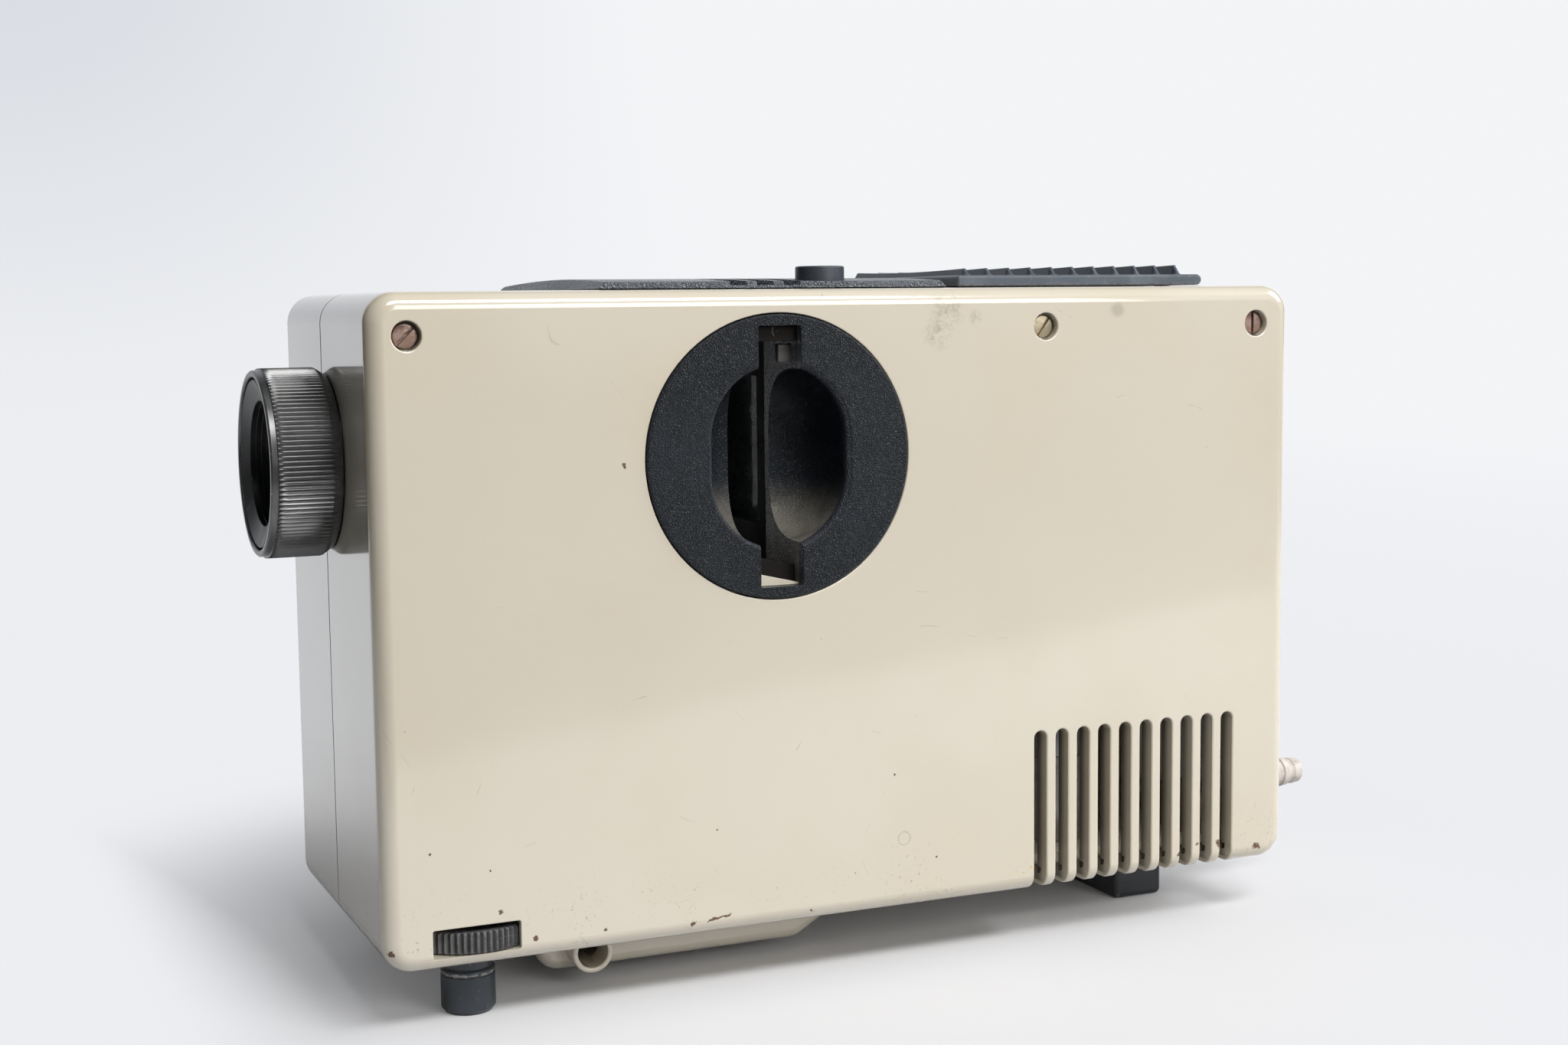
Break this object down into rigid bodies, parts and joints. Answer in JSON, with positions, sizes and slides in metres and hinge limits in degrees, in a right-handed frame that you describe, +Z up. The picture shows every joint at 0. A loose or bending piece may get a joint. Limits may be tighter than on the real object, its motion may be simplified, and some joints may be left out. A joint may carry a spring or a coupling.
{
  "type": "slide projector",
  "caption": "Compact slide projector with a round slide gate plate, focusing lens, screw feet, push switch and hinged louvred lamp cover.",
  "frame": {"origin": "centre of the whole object's box in plan, on the surface that its feet stand on", "axes": "+X from the lens towards the rear, +Y from the near changer side towards the far side, +Z up"},
  "size_m": [0.2786, 0.0914, 0.1695],
  "materials": {
    "cream_paint": "glossy",
    "black_grain": "fine leather grain",
    "dark_plastic": "satin",
    "black_anodised": "black, satin",
    "clear_glass": "polished",
    "bare_steel": "plain",
    "brown_board": "moulded",
    "copper_winding": "wound",
    "pale_rubber": "matt"
  },
  "bodies": {
    "housing": {"chassis_plate": "bare_steel", "condenser_tube": "bare_steel", "cord_gland": "pale_rubber", "fan_motor": "bare_steel", "far_foot_guide": "bare_steel", "far_heat_shield": "bare_steel", "far_shell": "cream_paint", "far_slot_plate": "black_grain", "far_top_plate": "black_grain", "filter_holder": "bare_steel", "front_condenser": "clear_glass", "front_screw": "bare_steel", "heat_filter": "clear_glass", "hinge_pin": "bare_steel", "lamp": "clear_glass", "lamp_socket": "brown_board", "lens_sleeve": "bare_steel", "middle_screw": "bare_steel", "motor_stand": "bare_steel", "near_foot_guide": "bare_steel", "near_heat_shield": "bare_steel", "near_shell": "cream_paint", "near_slot_plate": "black_grain", "near_top_plate": "black_grain", "push_switch": "brown_board", "rear_condenser": "clear_glass", "rear_foot": "dark_plastic", "rear_screw": "bare_steel", "reflector": "bare_steel", "slide_gate": "dark_plastic", "terminal_block": "brown_board", "transformer_coil": "copper_winding", "transformer_core": "brown_board", "tube_screw": "bare_steel"},
    "focus_ring": {"focus_ring": "black_anodised"},
    "lens": {"lens_barrel": "black_anodised", "lens_retainer": "black_anodised", "front_lens": "clear_glass", "rear_lens": "clear_glass"},
    "near_wheel": {"near_height_wheel": "dark_plastic"},
    "near_screw_foot": {"near_foot": "dark_plastic"},
    "far_wheel": {"far_height_wheel": "dark_plastic"},
    "far_screw_foot": {"far_foot": "dark_plastic"},
    "button": {"switch_button": "dark_plastic"},
    "cover": {"lamp_cover": "dark_plastic"},
    "fan": {"fan_impeller": "dark_plastic"}
  },
  "joints": [
    {"name": "focus_turn", "type": "hinge", "parent": "housing", "child": "focus_ring", "pos_m": [-0.1227, 0, 0.1252], "axis": [1, 0, 0], "range_deg": [0, 270]},
    {"name": "lens_slide", "type": "slide", "parent": "housing", "child": "lens", "axis": [-1, 0, 0], "range_m": [0, 0.0075]},
    {"name": "near_wheel_turn", "type": "hinge", "parent": "housing", "child": "near_wheel", "pos_m": [-0.1003, -0.0304, 0.0197], "axis": [0, 0, 1], "range_deg": [0, 2160]},
    {"name": "near_foot_slide", "type": "slide", "parent": "housing", "child": "near_screw_foot", "axis": [0, 0, -1], "range_m": [0, 0.0152]},
    {"name": "far_wheel_turn", "type": "hinge", "parent": "housing", "child": "far_wheel", "pos_m": [-0.1003, 0.0304, 0.0197], "axis": [0, 0, 1], "range_deg": [0, 2160]},
    {"name": "far_foot_slide", "type": "slide", "parent": "housing", "child": "far_screw_foot", "axis": [0, 0, -1], "range_m": [0, 0.0152]},
    {"name": "button_press", "type": "slide", "parent": "housing", "child": "button", "axis": [0, 0, -1], "range_m": [0, 0.002], "stiffness_N_per_m": 400},
    {"name": "cover_hinge", "type": "hinge", "parent": "housing", "child": "cover", "pos_m": [0.09395, 0, 0.16565], "axis": [0, 1, 0], "range_deg": [0, 80]},
    {"name": "fan_spin", "type": "hinge", "parent": "housing", "child": "fan", "pos_m": [0.0703, 0, 0.072], "axis": [0, 0, 1], "continuous": true}
  ],
  "couplings": [
    {"joint": "focus_turn", "follows": "lens_slide", "rad_per_m": 625},
    {"joint": "near_foot_slide", "follows": "near_wheel_turn", "m_per_rad": 0.00039789},
    {"joint": "far_foot_slide", "follows": "far_wheel_turn", "m_per_rad": 0.00039789}
  ]
}
